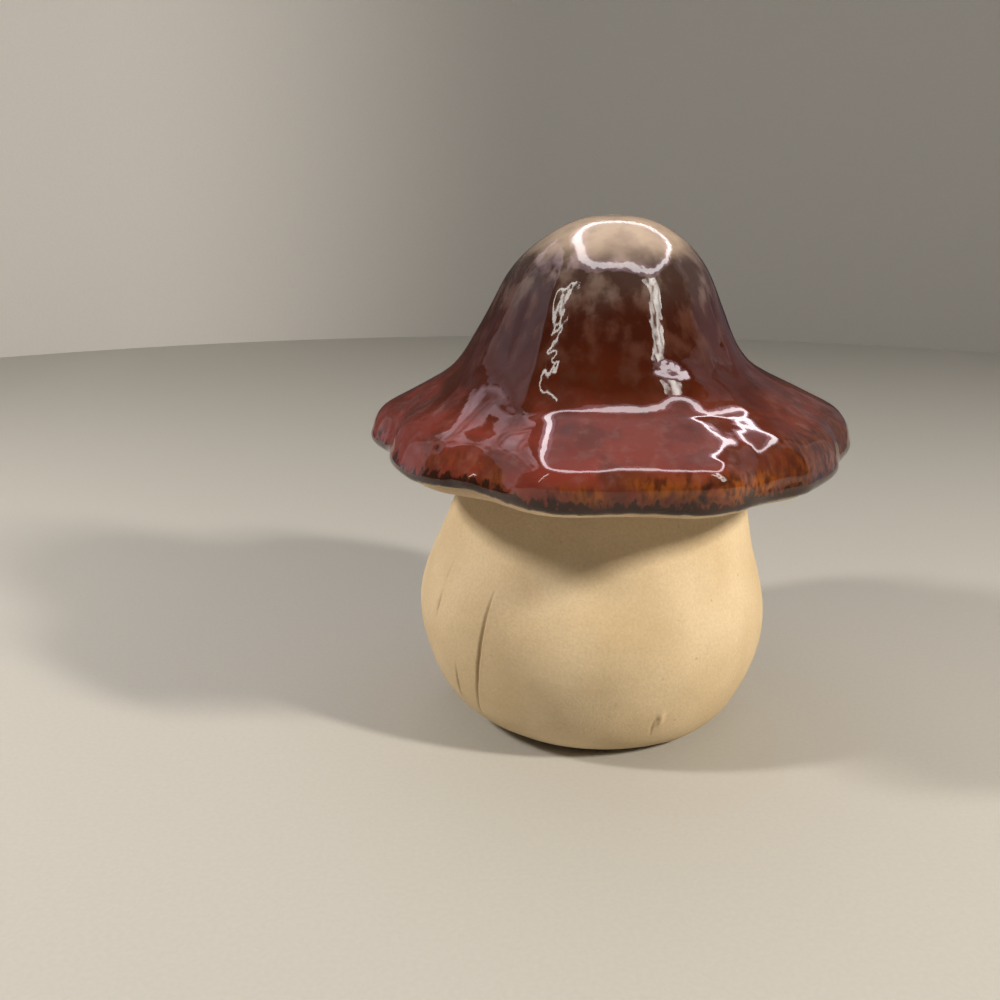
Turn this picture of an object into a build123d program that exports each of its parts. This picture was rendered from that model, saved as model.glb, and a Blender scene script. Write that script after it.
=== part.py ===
"""Ceramic mushroom ornament: a hollow biscuit stem and a lobed, glazed cap that lifts off it.

The origin is the centre of the foot, on the surface that the ornament stands on.
+Z is up, -Y is the front and all sizes are in millimetres.
"""

import os

from build123d import *

os.makedirs("parts", exist_ok=True)

# Stem: a slip-cast bulb, closed at the foot and open at the neck
foot_radius = 28
foot_ring_width = 6
foot_recess_depth = 1.5
belly_radius = 44
belly_lean = 3
stem_wall = 5
stem_floor = 6
ledge_level = 80
ledge_radius = 23
neck_offset = 1.4
neck_radius = 17
neck_height = 18
neck_wall = 4
neck_edge_rounding = 1.2

# Cap: a lobed bell whose rim hangs below the ledge that carries it
brim_radius = 60
bell_lean = 2
cap_height = 57.5
rim_drop = 12
cap_wall = 5
rim_setback = 3.7
rim_flat_width = 3.5
glaze_thickness = 0.8
bare_rim_height = 0.7

# Collar: a ring luted into the bell, with a running fit on the neck
collar_fit = 0.6
collar_wall = 4.4
collar_height = 22
collar_lead_in = 0.8
collar_room = 0.3

# Length by which a cutting solid runs past what it cuts
overrun = 5

# Stem stations between foot and ledge: height as a share of the ledge's level,
# radius as a share of the belly's, and lean to the left as a share of the belly's
stem_station_shares = (
    (0.038, 0.764, 0.17),
    (0.100, 0.866, 0.50),
    (0.188, 0.945, 0.68),
    (0.312, 1.000, 0.83),
    (0.450, 0.981, 0.98),
    (0.575, 0.904, 0.80),
    (0.700, 0.834, 0.46),
    (0.825, 0.759, 0.15),
    (0.925, 0.655, 0.03),
)

# Outside of the cap, first round the lip and then up the bell to the crown: radius as a
# share of the brim's, height above the rim as a share of the cap's, how much of the
# brim's lobing is left there, and lean to the left as a share of the bell's
lip_station_shares = (
    (0.957, 0.000, 1.00, 0.00),
    (0.980, 0.012, 1.00, 0.00),
    (0.995, 0.032, 1.00, 0.00),
    (1.000, 0.061, 1.00, 0.00),
    (0.996, 0.087, 1.00, -0.05),
    (0.985, 0.125, 1.00, -0.10),
)
bell_station_shares = (
    (0.955, 0.172, 0.97, -0.15),
    (0.867, 0.230, 0.85, -0.15),
    (0.732, 0.304, 0.62, 0.15),
    (0.605, 0.390, 0.42, 0.80),
    (0.538, 0.483, 0.33, 0.95),
    (0.492, 0.577, 0.30, 0.82),
    (0.448, 0.671, 0.24, 0.67),
    (0.402, 0.765, 0.12, 0.52),
    (0.330, 0.859, 0.04, 0.28),
    (0.250, 0.925, 0.00, 0.07),
    (0.165, 0.972, 0.00, 0.00),
    (0.070, 0.995, 0.00, 0.00),
)

# Outline of the brim seen from above: bearing in degrees counterclockwise from +X,
# and radius there as a share of the brim's; the pinched places divide it into lobes
brim_outline_shares = (
    (0, 1.000),
    (9, 1.000),
    (17, 0.967),
    (23, 0.940),
    (29, 0.963),
    (38, 0.993),
    (48, 1.000),
    (58, 0.985),
    (67, 0.948),
    (76, 0.980),
    (88, 1.000),
    (100, 0.982),
    (110, 0.935),
    (119, 0.968),
    (130, 1.000),
    (142, 0.983),
    (150, 0.940),
    (158, 0.972),
    (167, 1.007),
    (175, 1.003),
    (182, 0.957),
    (190, 0.912),
    (198, 0.928),
    (207, 0.952),
    (217, 0.970),
    (227, 0.973),
    (238, 0.958),
    (245, 1.003),
    (251, 1.038),
    (257, 1.040),
    (265, 1.013),
    (273, 1.012),
    (283, 1.050),
    (290, 1.030),
    (300, 0.980),
    (308, 0.987),
    (316, 0.968),
    (327, 0.952),
    (337, 0.930),
    (345, 0.946),
    (353, 0.980),
)

# The flat rim keeps all of the brim's lobing
rim_lobing_share = 1

# Levels and radii that the pieces share; the flat rim is set back from the brim all round
rim_level = ledge_level - rim_drop
rim_flat_radius = brim_radius - rim_setback
seat_level = ledge_level + collar_height
collar_bore_radius = neck_radius + collar_fit
collar_radius = collar_bore_radius + collar_wall


def inset(stations, depth):
    """Move stations of (radius, level, ...) inwards along the normals of their profile."""
    moved = []
    for index, (radius, level, *form) in enumerate(stations):
        before = stations[max(index - 1, 0)]
        after = stations[min(index + 1, len(stations) - 1)]
        along = Vector(after[0] - before[0], after[1] - before[1]).normalized()
        moved.append((radius - depth * along.Y, level + depth * along.X, *form))
    return moved


def round_section(radius, level, centre):
    """A round section of the bulb, with its centre this far to the right of the foot's."""
    with BuildSketch(Plane((centre, 0, level))) as section:
        Circle(radius)
    return section.sketch


def lobed_section(radius, level, centre, lobing):
    """A section of the cap: the brim's outline at this radius, with its lobing faded."""
    points = []
    for bearing, share in brim_outline_shares:
        reach = radius * (1 + lobing * (share - 1))
        points.append(Vector(reach, 0).rotate(Axis.Z, bearing))
    with BuildSketch(Plane((centre, 0, level))) as section:
        with BuildLine():
            Spline(points, periodic=True)
        make_face()
    return section.sketch


def neck_plane(level):
    """The horizontal plane at this level, centred on the axis of neck, collar and cap."""
    return Plane((neck_offset, 0, level))


# The stem's stations run from the edge of the foot up to the edge of the ledge: the bulb's
# middle line rises straight from the foot's centre to the neck's, and its belly leans off it
stem_stations = [(foot_radius, 0, 0)]
for height_share, radius_share, lean_share in stem_station_shares:
    centre = neck_offset * height_share - belly_lean * lean_share
    stem_stations.append((belly_radius * radius_share, ledge_level * height_share, centre))
stem_stations.append((ledge_radius, ledge_level, neck_offset))

# The hollow keeps the wall's thickness all the way round, above a flat floor
stem_hollow_stations = [(foot_radius, stem_floor, 0)] + inset(stem_stations, stem_wall)[2:-1]

with BuildPart() as stem:
    loft([round_section(*station) for station in stem_stations])
    with BuildSketch(neck_plane(ledge_level)):
        Circle(neck_radius)
    extrude(amount=neck_height)
    loft([round_section(*station) for station in stem_hollow_stations], mode=Mode.SUBTRACT)
    with BuildSketch(neck_plane(ledge_level - stem_wall - overrun)):
        Circle(neck_radius - neck_wall)
    extrude(amount=stem_wall + neck_height + overrun + overrun, mode=Mode.SUBTRACT)
    with BuildSketch(Plane.XY):
        Circle(foot_radius - foot_ring_width)
    extrude(amount=foot_recess_depth, mode=Mode.SUBTRACT)
    mouth_edges = stem.edges().filter_by(GeomType.CIRCLE).group_by(Axis.Z)[-1]
    fillet(mouth_edges, radius=neck_edge_rounding)

# The outside of the glaze from rim to crown, and the clay one coat's thickness inside it,
# which goes on below the glaze to the flat rim
glaze_stations = []
for radius_share, height_share, lobing, lean_share in lip_station_shares + bell_station_shares:
    radius = brim_radius * radius_share
    level = rim_level + cap_height * height_share
    glaze_stations.append((radius, level, neck_offset - bell_lean * lean_share, lobing))
rim_edge = (rim_flat_radius, rim_level, neck_offset, rim_lobing_share)
clay_stations = [rim_edge] + inset(glaze_stations, glaze_thickness)[1:]
crown_level = rim_level + cap_height

# The bell's hollow opens at the flat rim and follows the outside at the wall's thickness
rim_opening_radius = rim_flat_radius - rim_flat_width
hollow_stations = [
    (rim_opening_radius, rim_level - overrun, neck_offset, rim_lobing_share),
    (rim_opening_radius, rim_level, neck_offset, rim_lobing_share),
]
wall_and_glaze = cap_wall + glaze_thickness
hollow_stations += inset(glaze_stations, wall_and_glaze)[len(lip_station_shares):]

with BuildPart() as clay_outside:
    clay_crown = Vertex(neck_offset, 0, crown_level - glaze_thickness)
    loft([lobed_section(*station) for station in clay_stations] + [clay_crown])

# Above the seat the hollow is no wider than the collar's bore, which leaves a ring of clay
# for the collar to be luted to; below the seat there is room for the collar all round
with BuildPart() as bell_hollow:
    hollow_crown = Vertex(neck_offset, 0, crown_level - wall_and_glaze)
    loft([lobed_section(*station) for station in hollow_stations] + [hollow_crown])
    with BuildSketch(neck_plane(seat_level)):
        Circle(brim_radius)
        Circle(collar_bore_radius, mode=Mode.SUBTRACT)
    extrude(amount=cap_height, mode=Mode.SUBTRACT)
    with BuildSketch(neck_plane(ledge_level)):
        Circle(collar_radius + collar_room)
    extrude(amount=collar_height)

with BuildPart() as cap_shell:
    add(clay_outside.part)
    add(bell_hollow.part, mode=Mode.SUBTRACT)

with BuildPart() as glaze_coat:
    glaze_crown = Vertex(neck_offset, 0, crown_level)
    loft([lobed_section(*station) for station in glaze_stations] + [glaze_crown])
    add(clay_outside.part, mode=Mode.SUBTRACT)
    with BuildSketch(neck_plane(rim_level + bare_rim_height)):
        Circle(brim_radius + brim_radius)
    extrude(amount=-cap_height, mode=Mode.SUBTRACT)

with BuildPart() as cap_collar:
    with BuildSketch(neck_plane(ledge_level)):
        Circle(collar_radius)
        Circle(collar_bore_radius, mode=Mode.SUBTRACT)
    extrude(amount=collar_height)
    lead_in_edges = cap_collar.edges().filter_by(GeomType.CIRCLE).group_by(Axis.Z)[0]
    chamfer(lead_in_edges, length=collar_lead_in)

stem.part.label = "stem"
cap_shell.part.label = "cap_shell"
glaze_coat.part.label = "glaze_coat"
cap_collar.part.label = "cap_collar"

for piece in (stem.part, cap_shell.part, glaze_coat.part, cap_collar.part):
    export_step(piece, f"parts/{piece.label}.step")
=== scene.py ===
import math

import bmesh
import bpy
from mathutils import Matrix, Vector, noise
from mathutils.bvhtree import BVHTree


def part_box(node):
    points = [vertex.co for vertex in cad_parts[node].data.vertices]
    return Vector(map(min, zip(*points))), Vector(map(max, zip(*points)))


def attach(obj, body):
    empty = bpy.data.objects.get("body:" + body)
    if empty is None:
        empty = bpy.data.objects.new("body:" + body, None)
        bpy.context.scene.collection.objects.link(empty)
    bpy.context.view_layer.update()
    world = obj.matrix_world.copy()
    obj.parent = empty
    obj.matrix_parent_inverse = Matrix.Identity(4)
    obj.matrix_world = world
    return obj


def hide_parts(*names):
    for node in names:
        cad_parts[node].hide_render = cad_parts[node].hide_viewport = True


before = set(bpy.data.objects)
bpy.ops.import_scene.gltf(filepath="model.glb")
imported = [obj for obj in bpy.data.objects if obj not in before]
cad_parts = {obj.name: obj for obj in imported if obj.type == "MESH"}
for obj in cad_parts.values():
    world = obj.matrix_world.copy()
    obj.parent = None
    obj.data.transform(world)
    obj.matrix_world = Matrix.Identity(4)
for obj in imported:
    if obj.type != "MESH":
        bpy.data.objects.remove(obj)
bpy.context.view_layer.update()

# Stem. A bulb of buff clay, slip-cast hollow, fired once and left bare, so that it is matt and
# chalky. It was fettled by hand: a knife left the grooves at its front left, and a crumb of clay
# with a scratch beside it stands at its front right.
mm = 0.001
foot_radius = 28 * mm
foot_ring_width = 6 * mm
foot_recess_depth = 1.5 * mm
foot_softness = 0.7 * mm
stem_floor = 6 * mm
stem_wall = 5 * mm
ledge_radius = 23 * mm
neck_wall = 4 * mm
neck_radius = 17 * mm
edge_softness = 1.2 * mm
ledge_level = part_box("cap_collar")[0].z
neck_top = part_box("stem")[1].z
neck_x = 1.4 * mm
belly_level = ledge_level / 2
belly_radius = 44 * mm
front_bearing = 270
back_bearing = 90
stem_columns = 372
belly_rows = 150
under_step = 4 * mm
top_step = 3 * mm
weld_distance = 0.002 * mm
# Where a ray starts that looks for the outside of a solid
far_off = 200 * mm
# Where the stem's columns stand closer together: bearing, half width and how many times closer
crowded_places = ((222, 16, 3.2), (286, 5, 2.5))


def packed_surface(node):
    """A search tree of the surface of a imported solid."""
    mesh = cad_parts[node].data
    corners = [vertex.co for vertex in mesh.vertices]
    return BVHTree.FromPolygons(corners, [polygon.vertices for polygon in mesh.polygons])


def heading(bearing, rise=0.0):
    """The direction at this bearing, counterclockwise from +X, and this rise, both in degrees."""
    turn, lift = math.radians(bearing), math.radians(rise)
    return Vector((math.cos(turn) * math.cos(lift), math.sin(turn) * math.cos(lift), math.sin(lift)))


def outside_of(tree, centre, bearing, rise):
    """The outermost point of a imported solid, seen from a centre inside it."""
    away = heading(bearing, rise)
    return tree.ray_cast(centre + away * far_off, -away)[0]


def turned(centre_x, corners, bearing, step):
    """Points along a turned profile, whose corners are (radius, level, softness of the corner)."""
    corner_shares = (0, 0.25, 0.5, 0.75, 1)
    plan = []
    for index, (radius, level, softness) in enumerate(corners):
        here = Vector((radius, level))
        if softness == 0:
            plan.append(here)
            continue
        start = here + (Vector(corners[index - 1][:2]) - here).normalized() * softness
        end = here + (Vector(corners[index + 1][:2]) - here).normalized() * softness
        for share in corner_shares:
            plan.append(start.lerp(here, share).lerp(here.lerp(end, share), share))
    points = [plan[0]]
    for before, after in zip(plan, plan[1:]):
        count = max(1, round((after - before).length / step))
        points += [before.lerp(after, k / count) for k in range(1, count + 1)]
    out = heading(bearing)
    return [Vector((centre_x + out.x * p.x, out.y * p.x, p.y)) for p in points]


def bearings_round(columns, crowded):
    """Bearings once round from the back, closer together where crowded (bearing, width, times)."""
    fine = 2000
    weight = [0.0]
    for k in range(fine):
        bearing = back_bearing + 360 * (k + 0.5) / fine
        density = 1.0
        for middle, width, times in crowded:
            off = (bearing - middle + 180) % 360 - 180
            density += (times - 1) * math.exp(-((off / width) ** 4))
        weight.append(weight[-1] + density)
    bearings, k = [], 0
    for column in range(columns + 1):
        wanted = weight[-1] * column / columns
        while k < fine - 1 and weight[k + 1] < wanted:
            k += 1
        share = (wanted - weight[k]) / (weight[k + 1] - weight[k])
        bearings.append(back_bearing + 360 * (k + share) / fine)
    return bearings


def wrapped_skin(profiles, kept):
    """A closed skin of quads, whose columns follow these profiles and keep these named vectors."""
    skin = bmesh.new()
    columns, rows = len(profiles) - 1, len(profiles[0]) - 1
    bmesh.ops.create_grid(skin, x_segments=columns, y_segments=rows, size=1)
    layers = {name: skin.verts.layers.float_vector.new(name) for name in kept}
    for corner in skin.verts:
        column = round((corner.co.x + 1) / 2 * columns)
        row = round((corner.co.y + 1) / 2 * rows)
        corner.co = profiles[column][row]
        for name, layer in layers.items():
            corner[layer] = kept[name][column][row]
    bmesh.ops.remove_doubles(skin, verts=skin.verts, dist=weld_distance)
    bmesh.ops.recalc_face_normals(skin, faces=skin.faces)
    return skin


def finished_piece(name, form, material):
    """Turns a bmesh into a smooth-shaded object of the scene with this material."""
    mesh = bpy.data.meshes.new(name)
    form.to_mesh(mesh)
    form.free()
    mesh.polygons.foreach_set("use_smooth", [True] * len(mesh.polygons))
    piece = bpy.data.objects.new(name, mesh)
    bpy.context.scene.collection.objects.link(piece)
    mesh.materials.append(material)
    return piece


# Knife strokes: bearing in degrees, level, half width and depth at each point, in millimetres
knife_strokes = (
    (
        (230.3, 42.5, 0.25, 0.10), (229.6, 38.5, 0.45, 0.35), (228.9, 33.0, 0.55, 0.50),
        (227.9, 27.3, 0.60, 0.55), (225.9, 20.5, 0.55, 0.45), (223.2, 14.0, 0.45, 0.30),
        (220.3, 8.5, 0.30, 0.15),
    ),
    ((207.2, 39.5, 0.20, 0.10), (207.2, 35.0, 0.50, 0.50), (206.6, 31.0, 0.20, 0.10)),
    (
        (216.6, 22.5, 0.20, 0.10), (214.9, 17.3, 0.50, 0.45), (213.0, 12.8, 0.45, 0.40),
        (211.2, 9.5, 0.20, 0.10),
    ),
    ((207.6, 46.0, 0.20, 0.05), (207.0, 42.0, 0.40, 0.20), (206.8, 39.5, 0.15, 0.05)),
    ((284.0, 13.2, 0.25, 0.15), (284.2, 10.6, 0.40, 0.30), (284.6, 8.0, 0.25, 0.10)),
)
# Dimples and crumbs: bearing, level, radius and height, which is below zero for a dimple
stem_specks = (
    (286.4, 14.2, 0.8, 0.55), (286.6, 12.4, 0.7, 0.45), (285.0, 13.6, 0.5, -0.15),
    (270.1, 18.8, 0.5, -0.18), (245.7, 30.8, 0.5, -0.08), (237.8, 34.1, 0.8, 0.10),
    (197.3, 20.9, 0.8, -0.15), (252.0, 15.0, 0.5, -0.06), (262.0, 38.0, 0.5, -0.05),
    (301.0, 31.0, 0.5, -0.05), (40.0, 27.0, 1.0, -0.15), (112.0, 40.0, 1.1, -0.15),
    (155.0, 22.0, 0.9, -0.20),
)
# Form of a knife stroke and of the burr along its right side, as shares of the stroke's own
# half width and depth
cut_roundness = 1.5
burr_height_share = 0.22
burr_place_share = 1.35
burr_width_share = 0.35
# How far a stroke reaches past its points, in degrees and millimetres, and a speck in its radii
stroke_reach = 6
stroke_margin = 2
speck_reach = 2.5
# Cut at which the clay shows the full painted shade of its cuts and dimples
full_cut_shade = 0.5
# Unevenness of the belly: height and length of its waves, and of the rings left by the wheel
belly_waves = ((0.22, 21), (0.07, 7))
ring_height = 0.03
ring_length = 30
ring_spacing = 1.6


def stroke_cut(bearing, level, stroke):
    """Depth of a knife stroke at a place on the belly, less the burr along its right side."""
    per_degree = math.radians(belly_radius / mm)
    here = Vector((bearing * per_degree, level))
    deepest = 0.0
    for (b0, z0, w0, d0), (b1, z1, w1, d1) in zip(stroke, stroke[1:]):
        start, end = Vector((b0 * per_degree, z0)), Vector((b1 * per_degree, z1))
        along = end - start
        share = min(1, max(0, (here - start).dot(along) / along.length_squared))
        off = here - start - along * share
        width, depth = w0 + (w1 - w0) * share, d0 + (d1 - d0) * share
        cut = depth * max(0, 1 - (off.length / width) ** cut_roundness)
        if off.x > 0:
            past_burr = (off.length - burr_place_share * width) / (burr_width_share * width)
            cut -= burr_height_share * depth * math.exp(-past_burr * past_burr)
        if abs(cut) > abs(deepest):
            deepest = cut
    return deepest


def worked_belly(point, bearing):
    """A point of the belly as the potter left it, and how much painted shade its cuts and dimples give
    it, by their depth.
    """
    level, cut = point.z / mm, 0.0
    for stroke in knife_strokes:
        near = min(abs(bearing - b) for b, *_ in stroke) < stroke_reach
        if near and stroke[-1][1] - stroke_margin < level < stroke[0][1] + stroke_margin:
            cut += stroke_cut(bearing, level, stroke)
    lift = -cut
    for middle, speck_level, radius, height in stem_specks:
        across = (bearing - middle) * math.radians(belly_radius / mm)
        off = math.hypot(across, level - speck_level) / radius
        if off < speck_reach:
            lift += height * math.exp(-off * off)
            # A dimple adds painted shade by its depth
            cut += max(0, -height) * math.exp(-off * off)
    place = point / mm
    for height, length in belly_waves:
        lift += height * noise.noise(place / length)
    on_ring = Vector((place.x / ring_length, place.y / ring_length, place.z / ring_spacing))
    lift += ring_height * noise.noise(on_ring)
    out = (point - stem_centre).normalized()
    return point + out * lift * mm, max(0.0, min(1.0, cut / full_cut_shade))


stem_tree = packed_surface("stem")
stem_centre = Vector((0, 0, belly_level))
lowest_rise = math.degrees(math.atan2(-belly_level, foot_radius))
highest_rise = math.degrees(math.atan2(ledge_level - belly_level, ledge_radius - neck_x))
ring_inside = foot_radius - foot_ring_width
bore_radius = neck_radius - neck_wall
stem_under = (
    (0, foot_recess_depth, 0),
    (ring_inside, foot_recess_depth, foot_softness),
    (ring_inside, 0, foot_softness),
    (foot_radius - foot_softness, 0, 0),
)
stem_top = (
    (ledge_radius - foot_softness, ledge_level, 0),
    (neck_radius, ledge_level, foot_softness),
    (neck_radius, neck_top, edge_softness),
    (bore_radius, neck_top, edge_softness),
    (bore_radius, ledge_level - stem_wall, stem_wall),
    (belly_radius - stem_wall, belly_level, belly_level / 2),
    (foot_radius, stem_floor, foot_radius / 2),
    (0, stem_floor, 0),
)
stem_profiles, stem_cut_shade = [], []
for bearing in bearings_round(stem_columns, crowded_places):
    under = turned(0, stem_under, bearing, under_step)
    top = turned(neck_x, stem_top, bearing, top_step)
    belly, specks_and_cut_shade = [], []
    for row in range(1, belly_rows):
        rise = lowest_rise + (highest_rise - lowest_rise) * row / belly_rows
        point, cut_shade = worked_belly(outside_of(stem_tree, stem_centre, bearing, rise), bearing % 360)
        belly.append(point)
        specks_and_cut_shade.append(cut_shade)
    stem_profiles.append(under + belly + top)
    # Shares of painted shade in the cuts and dimples, none under the foot and at the top
    marks_and_shade = [0.0] * len(under) + specks_and_cut_shade + [0.0] * len(top)
    stem_cut_shade.append([Vector((cut_shade_share, 0, 0)) for cut_shade_share in marks_and_shade])


def node_tools(tree):
    """For this node tree, a function that fills a node's inputs, and one that adds a filled node."""

    def fill(node, inputs):
        for key, value in inputs.items():
            if isinstance(value, bpy.types.NodeSocket):
                tree.links.new(value, node.inputs[key])
            else:
                node.inputs[key].default_value = value

    def add(kind, inputs=None, **settings):
        node = tree.nodes.new("ShaderNode" + kind)
        for key, value in settings.items():
            setattr(node, key, value)
        fill(node, inputs or {})
        return node

    return fill, add


def new_material(name):
    """A node material with its shader and its node tools."""
    material = bpy.data.materials.new(name)
    material.use_nodes = True
    shader = material.node_tree.nodes["Principled BSDF"]
    return material, shader, *node_tools(material.node_tree)


def ranged(add, value, levels, results=(0, 1), **settings):
    """A value brought from between these levels to between these results."""
    return add("MapRange", {"Value": value, "From Min": levels[0], "From Max": levels[1],
                            "To Min": results[0], "To Max": results[1]}, **settings).outputs["Result"]


def blended(add, first, second, mask):
    """Colour that goes from the first to the second by a mask."""
    tones = [tone if isinstance(tone, bpy.types.NodeSocket) else (*tone, 1) for tone in (first, second)]
    # The colours of a Mix node are its inputs 6 and 7 and its output 2
    return add("Mix", {0: mask, 6: tones[0], 7: tones[1]}, data_type="RGBA").outputs[2]


# Noises of the clay: scale and detail of its clouds, its grain and the fine tooth of its surface
clay_noises = ((45, 4), (1500, 3), (3600, 2))
# Noise levels between which a cloud and a grain go from nothing to full
cloud_levels = (0.35, 0.65)
grain_levels = (0.3, 0.7)
# Dark specks: scale of their cells, their rim and core in a cell, and share of cells without one
speck_scale = 260
speck_levels = (0.13, 0.05)
cells_bare = 0.72
fine_share = 0.5


def grain_group():
    """A node group for fired clay: large clouds, fine grain and dark specks, as masks and a height."""
    group = bpy.data.node_groups.new("clay_grain", "ShaderNodeTree")
    group.interface.new_socket("Place", in_out="INPUT", socket_type="NodeSocketVector")
    for name in ("Clouds", "Grain", "Specks", "Height"):
        group.interface.new_socket(name, in_out="OUTPUT", socket_type="NodeSocketFloat")
    fill, add = node_tools(group)
    place = group.nodes.new("NodeGroupInput").outputs["Place"]
    clouds, grain, fine = (
        add("TexNoise", {"Vector": place, "Scale": scale, "Detail": detail}).outputs["Fac"]
        for scale, detail in clay_noises
    )
    cells = add("TexVoronoi", {"Vector": place, "Scale": speck_scale}).outputs
    specks = ranged(add, cells["Distance"], speck_levels)
    chance = add("SeparateColor", {"Color": cells["Color"]}).outputs["Red"]
    sparse = add("Math", {0: chance, 1: cells_bare}, operation="GREATER_THAN").outputs[0]
    few = add("Math", {0: specks, 1: sparse}, operation="MULTIPLY").outputs[0]
    height = add("Math", {0: fine, 1: fine_share, 2: grain}, operation="MULTIPLY_ADD").outputs[0]
    result = group.nodes.new("NodeGroupOutput")
    fill(result, {"Clouds": clouds, "Grain": grain, "Specks": few, "Height": height})
    return group


clay_grain = grain_group()
speck_strength = 0.35
grain_tones = (0.93, 1.05)
clay_roughness = (0.78, 0.95)
clay_sheen = 0.3
grain_strength = 0.5
grain_height = 0.12 * mm


def bare_clay(name, pale, deep, specks_and_cut_shade):
    """Unglazed fired clay between two tones, with a third tone for its dark specks and for painted
    shade in its cuts and dimples.
    """
    material, shader, fill, add = new_material(name)
    place = add("TexCoord").outputs["Object"]
    grain = add("Group", node_tree=clay_grain)
    fill(grain, {"Place": place})
    clouds, fine, specks, height = grain.outputs
    tone = blended(add, pale, deep, ranged(add, clouds, cloud_levels))
    shade = ranged(add, fine, grain_levels, grain_tones)
    grained = add("VectorMath", {0: tone, 1: shade}, operation="MULTIPLY").outputs[0]
    dark = add("Math", {0: specks, 1: speck_strength}, operation="MULTIPLY").outputs[0]
    specked = blended(add, grained, specks_and_cut_shade, dark)
    # Painted shade in the knife cuts and dimples, darker where they are deeper
    marks_and_shade = add("Attribute", attribute_name="marks_and_shade").outputs["Vector"]
    depth = add("SeparateXYZ", {0: marks_and_shade}).outputs["X"]
    bump = add("Bump", {"Strength": grain_strength, "Distance": grain_height, "Height": height})
    fill(shader, {
        "Base Color": blended(add, specked, specks_and_cut_shade, depth),
        "Roughness": ranged(add, fine, (0, 1), clay_roughness),
        "Specular IOR Level": clay_sheen,
        "Normal": bump.outputs["Normal"],
    })
    return material


biscuit_pale = (0.69, 0.545, 0.352)
biscuit_deep = (0.60, 0.456, 0.275)
# Tone of the dark specks, and of the painted shade in the knife cuts and dimples
biscuit_specks_and_cut_shade = (0.33, 0.215, 0.115)
biscuit = bare_clay("biscuit_clay", biscuit_pale, biscuit_deep, biscuit_specks_and_cut_shade)
stem_skin = wrapped_skin(stem_profiles, {"marks_and_shade": stem_cut_shade})
stem_body = finished_piece("stem_body", stem_skin, biscuit)
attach(stem_body, "stem")
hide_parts("stem")

# Cap collar. A thrown ring of the same clay, luted inside the cap. It drops over the stem's neck,
# with its foot chamfered so that it finds the neck, and carries the cap on the stem's ledge.
inner_pale = (0.70, 0.54, 0.37)
inner_deep = (0.58, 0.42, 0.27)
inner_specks_and_cut_shade = (0.27, 0.165, 0.08)
cap_clay = bare_clay("cap_clay", inner_pale, inner_deep, inner_specks_and_cut_shade)
cap_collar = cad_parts["cap_collar"]
cap_collar.data.materials.clear()
cap_collar.data.materials.append(cap_clay)

# Cap shell. A lobed bell of the same clay, pressed in a mould and trued by hand: its front swells
# into a panel, with a ridge at its left, and a crease and the brim's shelf under it. It is bare
# only at the rim and inside, where the glaze was wiped off.
glaze_thickness = 0.8 * mm
rim_width = 3.5 * mm
rim_softness = 0.9 * mm
rim_inset = 0.4 * mm
rim_shoulder = 1.2 * mm
rim_step = 1.2 * mm
rim_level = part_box("cap_shell")[0].z
bare_rim_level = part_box("glaze_coat")[0].z
crown_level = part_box("glaze_coat")[1].z
cap_centre = Vector((neck_x, 0, 76 * mm))
glaze_tree = packed_surface("glaze_coat")
shell_tree = packed_surface("cap_shell")
# Rises from the cap's centre, in degrees, at which its outline is measured: they start near the
# crown, are closer together round the lip, and end below it
first_rise = 88.5
lip_rise = 12
last_rise = -12
bell_rise_step = 0.6
lip_rise_step = 0.22
edge_room = 0.05 * mm


def cap_profile(bearing, rows, trim=0.0):
    """Points evenly spaced from the crown to the glaze's edge, less a trim, and their length."""
    raw = [Vector((neck_x, 0, crown_level))]
    rise = first_rise
    while rise > last_rise:
        point = outside_of(glaze_tree, cap_centre, bearing, rise)
        if point is None or point.z < bare_rim_level + edge_room:
            break
        raw.append(point)
        rise -= bell_rise_step if rise > lip_rise else lip_rise_step
    lengths = [0.0]
    for before, after in zip(raw, raw[1:]):
        lengths.append(lengths[-1] + (after - before).length)
    points, k = [], 0
    reach = lengths[-1] - trim
    for row in range(rows + 1):
        wanted = reach * row / rows
        while k < len(raw) - 2 and lengths[k + 1] < wanted:
            k += 1
        share = (wanted - lengths[k]) / (lengths[k + 1] - lengths[k])
        points.append(raw[k].lerp(raw[k + 1], share))
    return points, reach


def outward(points, row, bearing):
    """The direction out of the cap at this row of a profile."""
    before, after = points[max(row - 1, 0)], points[min(row + 1, len(points) - 1)]
    along = after - before
    out = heading(bearing)
    fall = Vector((along.dot(out), along.z)).normalized()
    return (out * -fall.y + Vector((0, 0, fall.x))).normalized()


def bump_at(value, middle, width):
    """A smooth hill from 0 to 1 and back, of this half width."""
    off = (value - middle) / width
    return math.exp(-off * off)


def smooth(value, low, high):
    """Goes smoothly from 0 to 1 as the value goes from low to high."""
    share = min(1, max(0, (value - low) / (high - low)))
    return share * share * (3 - 2 * share)


# Forms of the cap's front, as height, radius where they are highest, and half width inside and
# outside it: the panel's swelling, the crease under it, the brim's shelf and its lip's shoulder
panel_form = (2.4, 35.4, 7.5, 5.3)
crease_form = (-0.25, 44.2, 1.6, 1.6)
shelf_form = (0.5, 53.0, 6.0, 6.0)
shoulder_form = (1.8, 63.0, 4.0, 4.0)
# Bearings over which each form fades in at its left, and over which it fades out at its right
panel_fade_out = (320, 291)
shelf_fades = ((232, 246), (318, 300))
shoulder_fades = ((240, 252), (300, 285))
# Lobes and grooves of the brim: height, bearing, half width in degrees, radius and half width there
brim_lobes = (
    (0.9, 281, 9, 61.5, 4.5), (-0.4, 293, 3, 58.0, 4.0), (0.7, 306, 9, 54.0, 6.0),
)
# Levels over which all these forms rise from the cap's edge
form_rise = (70.5, 75)
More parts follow.
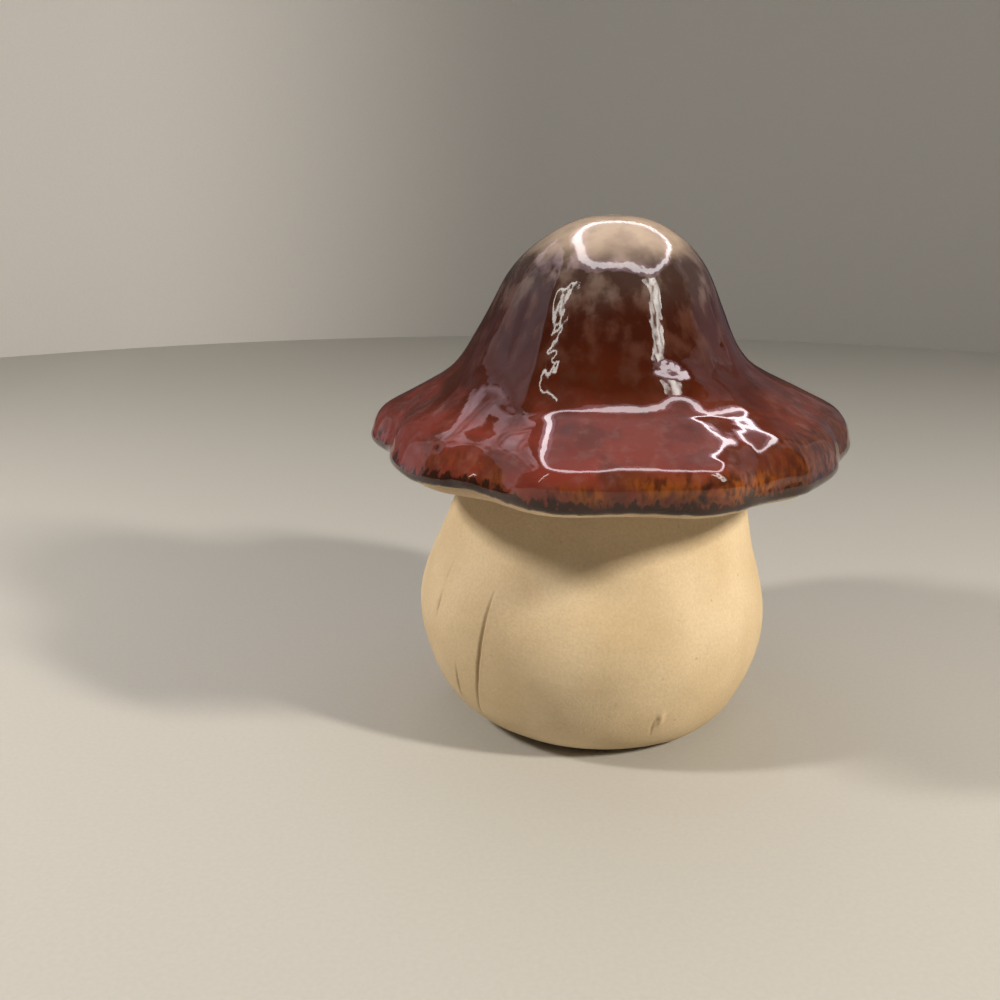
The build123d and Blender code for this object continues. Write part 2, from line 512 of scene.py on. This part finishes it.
# The left ridge: its height, bearing and level at its head, how far it drifts to the right with
# each millimetre down, how wide and how blunt it is in degrees, where it fades by level and by
# radius, and how far to its left and right the panel starts
ridge_height = 1.6
ridge_head_bearing = 236
ridge_head_level = 111
ridge_drift = 0.17
ridge_width = 8
ridge_bluntness = 1.5
ridge_level_fade = (118, 106)
ridge_radius_fade = (50, 38)
panel_start = (-16, 3)


def cap_form(point, bearing):
    """How far the pressed cap stands out from its even bell here, in millimetres."""
    level, radius = point.z / mm, math.hypot(point.x - neck_x, point.y) / mm
    ridge_bearing = ridge_head_bearing + ridge_drift * (ridge_head_level - level)
    past_ridge = bearing - ridge_bearing
    panel = smooth(past_ridge, *panel_start) * smooth(bearing, *panel_fade_out)
    shelf, shoulder = (
        smooth(bearing, *fade_in) * smooth(bearing, *fade_out)
        for fade_in, fade_out in (shelf_fades, shoulder_fades)
    )
    lift = 0.0
    for (height, middle, inside, outside), share in (
        (panel_form, panel), (crease_form, panel), (shelf_form, shelf), (shoulder_form, shoulder)
    ):
        lift += height * share * bump_at(radius, middle, inside if radius < middle else outside)
    for height, lobe_bearing, spread, middle, width in brim_lobes:
        lift += height * bump_at(bearing, lobe_bearing, spread) * bump_at(radius, middle, width)
    lift *= smooth(level, *form_rise)
    ridge = math.exp(-math.sqrt(past_ridge ** 2 + ridge_bluntness) / ridge_width)
    ridge *= smooth(level, *ridge_level_fade) * smooth(radius, *ridge_radius_fade)
    return lift + ridge_height * ridge


shell_columns = 240
shell_rows = 56
inside_rows = 59
lowest_inside_rise = -4
inside_rise_step = 1.6
inside_rises = [lowest_inside_rise + inside_rise_step * k for k in range(inside_rows)]
shell_profiles = []
for bearing in bearings_round(shell_columns, ()):
    points, _ = cap_profile(bearing, shell_rows)
    outer = []
    for row, point in enumerate(points):
        out = outward(points, row, bearing)
        lift = cap_form(point, bearing % 360) * mm - glaze_thickness
        outer.append(point + out * lift)
    outer[0] = Vector((neck_x, 0, crown_level - glaze_thickness))
    around = heading(bearing)
    edge_radius = (outer[-1] - cap_centre).dot(around)
    rim_corners = (
        (edge_radius - rim_inset, rim_level + rim_softness, 0),
        (edge_radius - rim_shoulder, rim_level, 0),
        (edge_radius - rim_width, rim_level, 0),
    )
    rim = turned(neck_x, rim_corners, bearing, rim_step)
    inside = []
    for rise in inside_rises:
        hit = shell_tree.ray_cast(cap_centre, heading(bearing, rise))[0]
        if hit is not None:
            inside.append(hit)
    while len(inside) < len(inside_rises):
        inside.insert(0, inside[0].lerp(rim[-1], 0.5))
    inside.append(Vector((neck_x, 0, shell_tree.ray_cast(cap_centre, Vector((0, 0, 1)))[0].z)))
    shell_profiles.append(outer + rim + inside)
shell_skin = wrapped_skin(shell_profiles, {})
cap_body = finished_piece("cap_body", shell_skin, cap_clay)
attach(cap_body, "cap")
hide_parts("cap_shell")

# Glaze coat. A thick, glossy reactive glaze, poured over the cap and fired: tan and dull at the
# crown, brown-red where it ran, amber where it broke over the lip, and black-brown at its edge.
glaze_columns = 380
glaze_rows = 160
lining_rows = 40
lining_depth = 0.9 * glaze_thickness
# Where the glaze's columns stand closer together: bearing, half width and how many times closer
glaze_crowded = ((front_bearing, 55, 1.5),)
# Faults of the glaze: bearing, level, radius and height, which is below zero for a pit
glaze_faults = (
    (223.5, 77.6, 1.50, 0.35), (223.5, 77.6, 0.90, -0.75), (322.9, 97.0, 0.75, -0.70),
    (296.7, 78.9, 2.20, -0.35), (233.6, 73.0, 2.60, 0.75), (229.5, 71.6, 1.60, -0.30),
    (247.5, 73.6, 1.50, 0.30), (62.0, 88.0, 0.70, -0.50), (118.0, 79.0, 1.80, 0.35),
    (172.0, 100.0, 0.60, -0.45), (15.0, 76.0, 2.00, 0.40),
)
# How much flatter than wide a fault is, how far it reaches in its radii, and how sharply the
# painted shade in a pit ends
fault_squash = 1.2
fault_reach = 2.5
pit_sharpness = 2
# Unevenness of the glaze, as height and length of its waves, which calm down towards the crown
glaze_waves = ((0.17, 10), (0.036, 4.2), (0.005, 1.9))
calm_level = 121
calm_depth = 12
least_wave_share = 0.15
# Drips over the lip: height, distance from the edge and half width, how close together, and how long
drip_form = (0.18, 6, 6)
drip_spacing = 9
drip_length = 30
# Bead in which the glaze gathered at its edge: height, distance from the edge and half width
bead_form = (0.30, 1.6, 1.4)
edge_taper = 0.8
# Bare edge: width wiped off everywhere, how ragged it is, and its widest places, as bearing, half
# width in degrees and share of the widest wipe; its rags are a coarse and a fine noise
wiped_width = 0.35
wiped_raggedness = 0.45
widest_wipe = 1.5
wiped_places = ((232, 13, 1), (60, 15, 0.7), (150, 12, 0.6))
coarse_rags = 7
rag_level = 3
fine_rags = 25
fine_rag_share = 0.5


def glaze_swell(point, bearing, edge):
    """How far the glaze stands above its even coat, in millimetres, and how much painted shade its pits
    get.
    """
    place = point / mm
    lift = sum(height * noise.noise(place / length) for height, length in glaze_waves)
    lift *= min(1, max(least_wave_share, (calm_level - place.z) / calm_depth))
    around = heading(bearing)
    run = noise.noise(Vector((around.x * drip_spacing, around.y * drip_spacing, edge / drip_length)))
    for strength, (height, middle, width) in ((run, drip_form), (1, bead_form)):
        lift += strength * height * bump_at(edge, middle, width)
    pit_shade = 0.0
    for middle, level, radius, height in glaze_faults:
        across = (bearing - middle) * math.radians(math.hypot(place.x, place.y))
        off = math.hypot(across, (place.z - level) * fault_squash) / radius
        if off < fault_reach:
            lift += height * math.exp(-off * off)
            # A pit gets painted shade by its depth
            pit_shade += max(0, -height) * math.exp(-off * off * pit_sharpness)
    return lift, min(1, pit_shade)


def bare_edge(bearing):
    """How far the glaze was wiped back from its even edge at this bearing, in millimetres."""
    around = heading(bearing)
    ragged = noise.noise(Vector((around.x * coarse_rags, around.y * coarse_rags, rag_level)))
    ragged += fine_rag_share * noise.noise(around * fine_rags)
    wiped = sum(share * bump_at(bearing % 360, middle, width) for middle, width, share in wiped_places)
    return max(0.0, wiped_width + wiped_raggedness * ragged + widest_wipe * wiped)


# Radius, in millimetres, of the cylinder on which the streaks of the glaze lie
flow_radius = 50
glaze_profiles, glaze_marks_and_shade, glaze_flows = [], [], []
for bearing in bearings_round(glaze_columns, glaze_crowded):
    points, length = cap_profile(bearing, glaze_rows, bare_edge(bearing) * mm)
    outer, inner, marks_and_shade, flows = [], [], [], []
    around = heading(bearing)
    for row, point in enumerate(points):
        edge = length * (1 - row / glaze_rows) / mm
        out = outward(points, row, bearing)
        form = point + out * cap_form(point, bearing % 360) * mm
        swell, pit_shade = glaze_swell(point, bearing % 360, edge)
        outer.append(form + out * swell * mm * min(1, edge / edge_taper))
        marks_and_shade.append(Vector((edge, pit_shade, 0)))
        flows.append(Vector((around.x * flow_radius, around.y * flow_radius, length / mm - edge)))
        if row % (glaze_rows // lining_rows) == 0:
            inner.append(form - out * lining_depth)
    inner[0] = Vector((neck_x, 0, crown_level - lining_depth))
    outer[0] = Vector((neck_x, 0, crown_level))
    inner.reverse()
    glaze_profiles.append(outer + inner)
    glaze_marks_and_shade.append(marks_and_shade + [Vector((0, 0, 0))] * len(inner))
    glaze_flows.append(flows + [flows[-1]] * len(inner))


# Tones of the glaze: on the dark front panel, on the red brim, at the crown, over the lip, and the
# painted shade in pits
panel_dark = (0.036, 0.0065, 0.0022)
panel_fleck = (0.095, 0.036, 0.022)
panel_warm = (0.070, 0.011, 0.002)
panel_warm_deep = (0.046, 0.010, 0.003)
brim_red = (0.175, 0.031, 0.019)
brim_red_right = (0.135, 0.029, 0.013)
brim_brown = (0.070, 0.022, 0.013)
brim_bright = (0.200, 0.036, 0.022)
brim_milky = (0.200, 0.095, 0.082)
crown_brown = (0.052, 0.030, 0.023)
crown_grey = (0.160, 0.115, 0.096)
top_tan = (0.50, 0.38, 0.285)
top_buff = (0.33, 0.25, 0.195)
amber_bright = (0.300, 0.082, 0.008)
amber_deep = (0.060, 0.016, 0.005)
burnt_amber = (0.110, 0.030, 0.004)
burnt_brown = (0.026, 0.009, 0.004)
edge_brown = (0.026, 0.0095, 0.0045)
blot_black = (0.016, 0.008, 0.005)
# Painted shade in the glaze's pits
pit_painted_shade = (0.008, 0.004, 0.003)
# How fully each of these covers the colour under it
fleck_share = 0.65
warm_share = 0.75
brown_share = 0.7
bright_share = 0.35
milky_share = 0.45
crown_share = 0.85
buff_share = 0.6
amber_share = 0.85
burnt_share = 0.8
edge_share = 0.95
blot_share = 0.9
# Noises of the glaze: scale, detail, and noise levels at which each mask starts and is full
streak_noise = (0.8, 5, 0.32, 0.68)
mottle_noise = (230, 4, 0.44, 0.70)
break_noise = (150, 5, 0.30, 0.70)
patch_noise = (62, 4, 0.42, 0.60)
brown_noise = (95, 4, 0.45, 0.62)
milky_noise = (330, 4, 0.46, 0.76)
amber_noise = (75, 3, 0.42, 0.58)
blot_noise = (120, 3, 0.60, 0.68)
# Streaks and mottles are drawn out down the cap
streak_stretch = (1, 1, 0.45)
mottle_stretch = (1, 1, 0.5)
# Bands by level, as start, end and how far a noise shifts them: the panel warms towards its foot
# and turns red at the brim, and the crown greys and then turns tan
warm_band = (106 * mm, 90 * mm, 6 * mm)
brim_band = (93 * mm, 82 * mm, 6 * mm)
crown_band = (104 * mm, 116.5 * mm, 4 * mm)
top_band = (115.2 * mm, 123.2 * mm, 2 * mm)
# Bands from left to right: the brim turns browner, amber sets in, and the lip is burnt
browner_band = (-30 * mm, 40 * mm, -20 * mm)
amber_band = (-45 * mm, 0, 12 * mm)
burnt_band = (26 * mm, 44 * mm, 6 * mm)
# Bands by distance from the glaze's edge, in millimetres
amber_reach = (8.6, 4.2, -2.2)
burnt_reach = (15, 9, -3)
brown_reach = (4.4, 3.2, 2.2)
blot_reach = (9.0, 5.5)
# Roughness of the glaze where it is wet and where it is dull, as greys, and its waviness
wet_roughness = (0.05, 0.05, 0.05)
dull_roughness = (0.13, 0.13, 0.13)
glaze_refraction = 1.5
plain_detail = 2
ripple_scale = 420
ripple_strength = 0.07
ripple_height = 0.15 * mm


def reactive_glaze():
    """The glaze's colours by level, by distance from its edge, and by runs down the slope."""
    material, shader, fill, add = new_material("reactive_glaze")
    place = add("TexCoord").outputs["Object"]
    across, _, height = add("SeparateXYZ", {0: place}).outputs
    flow = add("Attribute", attribute_name="flow").outputs["Vector"]
    marks_and_shade = add("Attribute", attribute_name="marks_and_shade").outputs["Vector"]
    edge, pit_shade, _ = add("SeparateXYZ", {0: marks_and_shade}).outputs

    def cloud(vector, scale, detail, low, high, stretch=(1, 1, 1)):
        """A noise mask that goes from 0 to 1 between two levels of its noise."""
        mapped = add("Mapping", {"Vector": vector, "Scale": stretch})
        texture = add("TexNoise", {"Vector": mapped.outputs[0], "Scale": scale, "Detail": detail})
        return ranged(add, texture.outputs["Fac"], (low, high), interpolation_type="SMOOTHSTEP")

    def band(value, start, end, shift=0.0, shifting=None):
        """A mask that goes from 0 to 1 as a value, shifted by a noise, goes from start to end."""
        if shifting is not None:
            value = add("Math", {0: shifting, 1: shift, 2: value}, operation="MULTIPLY_ADD").outputs[0]
        return ranged(add, value, (start, end), interpolation_type="SMOOTHSTEP")

    def both(first, second):
        """A mask that is 1 only where both of these are."""
        return add("Math", {0: first, 1: second}, operation="MULTIPLY").outputs[0]

    def blend(first, second, mask, share=1.0):
        """Colour that goes from the first to the second by a mask, up to this share."""
        return blended(add, first, second, mask if share == 1.0 else both(mask, share))

    streaks = cloud(flow, *streak_noise, streak_stretch)
    mottle = cloud(place, *mottle_noise, mottle_stretch)
    breaks = cloud(place, *break_noise)
    patches = cloud(place, *patch_noise)

    # The dark front panel, warmer towards its foot, and the red brim, which is browner at the right
    panel = blend(panel_dark, panel_fleck, mottle, fleck_share)
    warm = blend(panel_warm, panel_warm_deep, mottle)
    panel = blend(panel, warm, band(height, *warm_band, breaks), warm_share)
    red = blend(brim_red, brim_red_right, band(across, *browner_band, patches))
    red = blend(red, brim_brown, cloud(place, *brown_noise), brown_share)
    red = blend(red, brim_bright, patches, bright_share)
    red = blend(red, brim_milky, cloud(place, *milky_noise), milky_share)
    colour = blend(panel, red, band(height, *brim_band, patches))

    # The greyed crown and its tan top
    crown = blend(crown_brown, crown_grey, mottle)
    colour = blend(colour, crown, band(height, *crown_band, breaks), crown_share)
    top = band(height, *top_band, breaks)
    colour = blend(colour, blend(top_tan, top_buff, mottle, buff_share), top)

    # The lip: amber runs, burnt dark at the far right, and the brown edge with its blots; then the
    # painted shade in the pits
    broken = both(cloud(place, *amber_noise), band(across, *amber_band, patches))
    amber = both(band(edge, *amber_reach, streaks), broken)
    colour = blend(colour, blend(amber_bright, amber_deep, streaks), amber, amber_share)
    burnt = both(band(edge, *burnt_reach, streaks), band(across, *burnt_band, patches))
    colour = blend(colour, blend(burnt_amber, burnt_brown, streaks), burnt, burnt_share)
    colour = blend(colour, edge_brown, band(edge, *brown_reach, streaks), edge_share)
    blotted = both(cloud(place, *blot_noise), band(edge, *blot_reach))
    colour = blend(colour, blot_black, blotted, blot_share)
    # Painted shade in the pits, darker where they are deeper
    colour = blend(colour, pit_painted_shade, pit_shade)

    ripple = add("TexNoise", {"Vector": place, "Scale": ripple_scale, "Detail": plain_detail})
    bump = add("Bump", {"Strength": ripple_strength, "Distance": ripple_height,
                        "Height": ripple.outputs["Fac"]})
    fill(shader, {
        "Base Color": colour,
        "Roughness": blend(wet_roughness, dull_roughness, top),
        "IOR": glaze_refraction,
        "Normal": bump.outputs["Normal"],
    })
    return material


glaze_skin = wrapped_skin(glaze_profiles, {"marks_and_shade": glaze_marks_and_shade, "flow": glaze_flows})
cap_glaze = finished_piece("cap_glaze", glaze_skin, reactive_glaze())
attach(cap_glaze, "cap")
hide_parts("glaze_coat")

# Studio. A pale sheet in a photo tent of white cloth, open towards the camera. A square frame of
# lamps under its roof draws the rings on the glaze, and two strip lamps draw the silver lines.
# Strips, frame, roof and sides show in the glaze alone, and the area lamps only give light.
floor_radius = 4
floor_corners = 96
floor_grey = (0.46, 0.443, 0.40)
floor_roughness = 0.6
# Painted light: how much paler the floor is at its left
floor_painted_left_light = 1.25
tent_reach = 0.75
tent_height = 0.75
tent_start = -20
tent_turn = 220
tent_corners = 64
tent_grey = (0.29, 0.281, 0.267)
tent_roughness = 0.8
# Painted light: how much paler the tent's wall is at its left
tent_painted_left_light = 2.3
sheet_grain_scale = 900
sheet_tones = (0.97, 1.02)
# Levels across which the painted light fades out towards the right
painted_light_fade = (-0.35, 0.02)


def plain_surface(name, colour, roughness, painted_left_light):
    """A plain matt stage material with a faint, fine grain, and painted light that makes it paler
    towards the left by this gain.
    """
    material, shader, fill, add = new_material(name)
    place = add("TexCoord").outputs["Object"]
    grain = add("TexNoise", {"Vector": place, "Scale": sheet_grain_scale, "Detail": plain_detail})
    shade = ranged(add, grain.outputs["Fac"], grain_levels, sheet_tones)
    toned = add("VectorMath", {0: colour, 1: shade}, operation="MULTIPLY").outputs[0]
    across = add("SeparateXYZ", {0: place}).outputs["X"]
    # Painted light: the sheet is paler towards the left
    gain = ranged(add, across, painted_light_fade, (painted_left_light, 1), interpolation_type="SMOOTHSTEP")
    lit = add("VectorMath", {0: toned, 1: gain}, operation="MULTIPLY").outputs[0]
    fill(shader, {"Base Color": lit, "Roughness": roughness})
    return material


floor_form = bmesh.new()
bmesh.ops.create_circle(floor_form, cap_ends=True, segments=floor_corners, radius=floor_radius)
floor_sheet = plain_surface("floor_sheet", floor_grey, floor_roughness, floor_painted_left_light)
floor = finished_piece("floor", floor_form, floor_sheet)

# The tent's wall goes round the back, and isn't mirrored, so that the bell's edges stay dark
wall_form = bmesh.new()
foot = wall_form.verts.new(heading(tent_start) * tent_reach)
raised = bmesh.ops.extrude_vert_indiv(wall_form, verts=[foot])
raised["verts"][0].co.z = tent_height
bmesh.ops.spin(wall_form, geom=wall_form.verts[:] + wall_form.edges[:], axis=(0, 0, 1), cent=(0, 0, 0),
               angle=math.radians(tent_turn), steps=tent_corners, use_duplicate=False)
tent_cloth = plain_surface("tent_cloth", tent_grey, tent_roughness, tent_painted_left_light)
wall = finished_piece("tent_wall", wall_form, tent_cloth)
wall.visible_glossy = False


cloth_cloud_scale = 6


def glow(name, colour, strength, unevenness, scale=cloth_cloud_scale):
    """A glowing material, whose glow is cloudy by this share at this noise scale."""
    material, shader, fill, add = new_material(name)
    place = add("TexCoord").outputs["Object"]
    clouds = add("TexNoise", {"Vector": place, "Scale": scale, "Detail": plain_detail})
    share = ranged(add, clouds.outputs["Fac"], cloud_levels, (1 - unevenness, 1))
    toned = add("VectorMath", {0: colour, 1: share}, operation="MULTIPLY").outputs[0]
    fill(shader, {"Base Color": (0, 0, 0, 1), "Specular IOR Level": 0,
                  "Emission Color": toned, "Emission Strength": strength})
    return material


def mirrored_piece(name, form, material):
    """A stage piece that shows in the glaze alone and doesn't light the object."""
    piece = finished_piece(name, form, material)
    piece.visible_camera = False
    piece.visible_diffuse = False
    piece.visible_shadow = False


def flat_panel(place, width, depth, turn=Matrix.Identity(3)):
    """A rectangle centred at this place, which lies flat unless it is turned."""
    form = bmesh.new()
    bmesh.ops.create_grid(form, x_segments=1, y_segments=1, size=0.5)
    bmesh.ops.scale(form, verts=form.verts, vec=(width, depth, 1))
    bmesh.ops.rotate(form, verts=form.verts, cent=(0, 0, 0), matrix=turn)
    bmesh.ops.translate(form, verts=form.verts, vec=place)
    return form


# Area lamps, which don't show: name, bearing, rise, width, height, power and colour
lamp_distance = 0.7
aim = Vector((0, 0, 0.07))
area_lamps = (
    ("key_lamp", front_bearing + 57, 30, 0.05, 0.09, 5.5, (1.0, 0.93, 0.82)),
    ("left_lamp", front_bearing - 76, 37, 0.06, 0.10, 3.5, (1.0, 0.95, 0.89)),
    ("top_fill", back_bearing, 80, 0.60, 0.60, 1.0, (0.96, 0.97, 1.0)),
)
for name, bearing, rise, width, height, power, colour in area_lamps:
    data = bpy.data.lights.new(name, "AREA")
    data.shape = "RECTANGLE"
    data.size = width
    data.size_y = height
    data.energy = power
    data.color = colour
    lamp = bpy.data.objects.new(name, data)
    away = heading(bearing, rise)
    lamp.location = aim + away * lamp_distance
    lamp.rotation_mode = "QUATERNION"
    lamp.rotation_quaternion = away.to_track_quat("Z", "Y")
    lamp.visible_camera = False
    lamp.visible_glossy = False
    bpy.context.scene.collection.objects.link(lamp)

# Strip lamps at the sides of the tent's opening, turned towards the ornament: name, bearing,
# rise, width, height, unevenness and scale of their cloudiness
strip_colour = (1.0, 0.97, 0.90)
strip_strength = 14
strip_lamps = (
    ("right_strip", front_bearing + 63, 46, 0.16, 0.37, 0.97, 13),
    ("left_strip", front_bearing - 52, 48, 0.020, 0.40, 0.5, 16),
)
for name, bearing, rise, width, height, unevenness, scale in strip_lamps:
    away = heading(bearing, rise)
    turn = away.to_track_quat("Z", "Y").to_matrix()
    strip = flat_panel(aim + away * lamp_distance, width, height, turn)
    mirrored_piece(name, strip, glow(name + "_glow", strip_colour, strip_strength, unevenness, scale))

# The tent's sides, upright and brightest at the front: name, side, start, depth and strength
side_reach = 0.36
side_height = 0.45
side_colour = (0.64, 0.58, 0.66)
side_unevenness = 0.5
upright = Matrix.Rotation(math.radians(90), 3, "Y")
tent_sides = (
    ("left_side", -1, 0.055, 0.22, 0.95),
    ("right_side", 1, 0.055, 0.22, 0.6),
    ("left_back", -1, 0.275, 0.40, 0.22),
    ("right_back", 1, 0.275, 0.40, 0.25),
)
for name, side, start, depth, strength in tent_sides:
    middle = Vector((side * side_reach, start + depth / 2, side_height / 2))
    cloth = flat_panel(middle, side_height, depth, upright)
    mirrored_piece(name, cloth, glow(name + "_glow", side_colour, strength, side_unevenness))

# The tent's roof inside the frame of lamps, and a lilac fold of it at the left
lamp_middle = Vector((0.10, 0.17, 0.5))
width_stretch = 1.19
depth_stretch = 1.33
roof_size = 0.38
roof_gap = Vector((0, 0, 0.01))
roof_colour = (0.62, 0.58, 0.68)
roof_strength = 1.0
roof_unevenness = 0.3
roof = flat_panel(lamp_middle + roof_gap, roof_size * width_stretch, roof_size * depth_stretch)
mirrored_piece("tent_roof", roof, glow("roof_glow", roof_colour, roof_strength, roof_unevenness))
fold_middle = Vector((-0.31, 0.27, lamp_middle.z))
fold_width = 0.20
fold_depth = 0.42
fold_colour = (0.90, 0.68, 0.78)
fold_strength = 2.2
fold_unevenness = 0.9
fold_cloud_scale = 9
fold = flat_panel(fold_middle, fold_width, fold_depth)
fold_glow = glow("cloth_glow", fold_colour, fold_strength, fold_unevenness, fold_cloud_scale)
mirrored_piece("roof_cloth", fold, fold_glow)

# The frame of lamps and the halo round it: name, half size, width, lift, strength and colour
corner_rounding = 0.15
corner_segments = 10
lamp_frames = (
    ("lamp_frame", 0.21, 0.028, 0, 10, (1.0, 0.92, 0.96)),
    ("lamp_halo", 0.225, 0.060, 0.005, 1.8, (0.95, 0.66, 0.84)),
)
eighth_turn = Matrix.Rotation(math.radians(45), 3, "Z")
for name, half, width, lift, strength, colour in lamp_frames:
    form = bmesh.new()
    bmesh.ops.create_circle(form, cap_ends=True, segments=4, radius=half * math.sqrt(2))
    bmesh.ops.rotate(form, verts=form.verts, cent=(0, 0, 0), matrix=eighth_turn)
    bmesh.ops.bevel(form, geom=form.verts[:], affect="VERTICES", offset=corner_rounding,
                    segments=corner_segments, profile=0.5, material=-1)
    inset = bmesh.ops.inset_region(form, faces=form.faces[:], thickness=width, use_boundary=True)
    middle = [face for face in form.faces if face not in inset["faces"]]
    bmesh.ops.delete(form, geom=middle, context="FACES")
    bmesh.ops.scale(form, verts=form.verts, vec=(width_stretch, depth_stretch, 1))
    bmesh.ops.translate(form, verts=form.verts, vec=lamp_middle + Vector((0, 0, lift)))
    mirrored_piece(name, form, glow(name + "_glow", colour, strength, 0.0))

room_grey = (0.05, 0.05, 0.05, 1)
world = bpy.data.worlds.new("studio")
world.use_nodes = True
world.node_tree.nodes["Background"].inputs["Color"].default_value = room_grey
bpy.context.scene.world = world
bpy.context.scene.view_settings.view_transform = "Standard"

# The camera stands where the outline in the photograph puts it, and looks down by this many degrees
camera_place = (-0.0257, -0.2649, 0.131)
camera_drop = 16
camera_lens = 38.88
camera_sensor = 36
camera_data = bpy.data.cameras.new("camera")
camera_data.lens = camera_lens
camera_data.sensor_width = camera_sensor
camera = bpy.data.objects.new("camera", camera_data)
camera.location = camera_place
camera.rotation_euler = (math.radians(90 - camera_drop), 0, 0)
bpy.context.scene.collection.objects.link(camera)
bpy.context.scene.camera = camera
